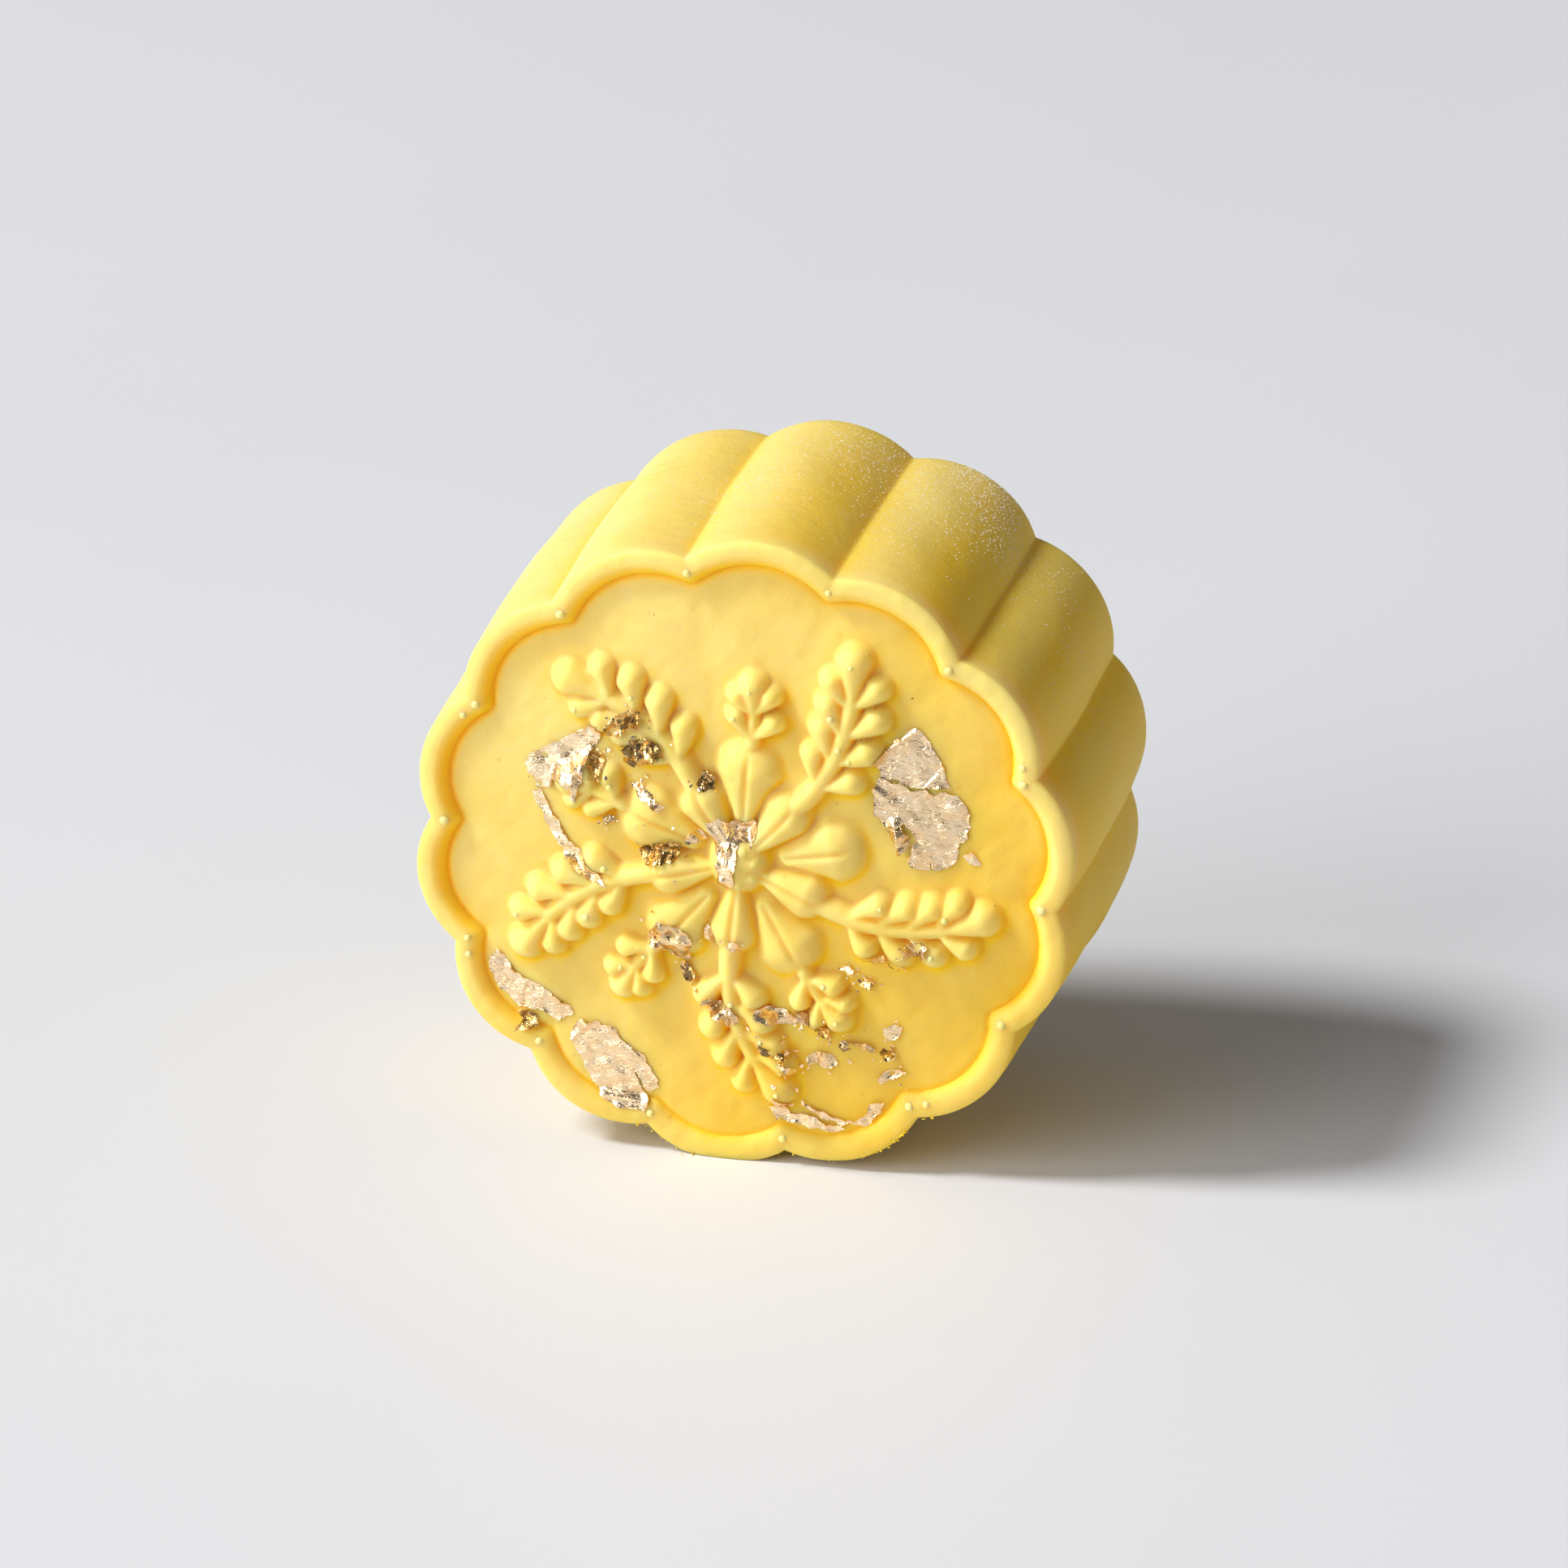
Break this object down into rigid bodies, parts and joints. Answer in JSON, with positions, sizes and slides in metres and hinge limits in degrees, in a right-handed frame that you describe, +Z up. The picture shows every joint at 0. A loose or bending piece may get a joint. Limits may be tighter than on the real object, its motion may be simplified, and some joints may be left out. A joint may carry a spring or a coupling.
{
  "type": "snow-skin mooncake",
  "caption": "Round snow-skin mooncake of yellow dough standing on its fluted edge, with a pressed blossom pattern inside a scalloped rim and flakes of gold leaf.",
  "frame": {"origin": "on the ground, under the middle of the cake's box", "axes": "+Z up, -Y the way the pressed face looks, +Y along the cake's axis towards its plain back"},
  "size_m": [0.0654, 0.0368, 0.0649],
  "materials": {
    "dough": "soft matt glutinous rice dough, pale yellow, with fine pits and a little starch dust",
    "gold_leaf": "thin crinkled edible gold foil, bright",
    "starch": "loose white cooked-flour dust"
  },
  "bodies": {
    "root": {"mooncake": "dough", "gold_leaf_right": "gold_leaf", "gold_leaf_upper_left": "gold_leaf", "gold_leaf_centre": "gold_leaf", "gold_leaf_lower_left": "gold_leaf", "gold_leaf_edge": "gold_leaf", "gold_leaf_bottom": "gold_leaf"}
  },
  "joints": []
}
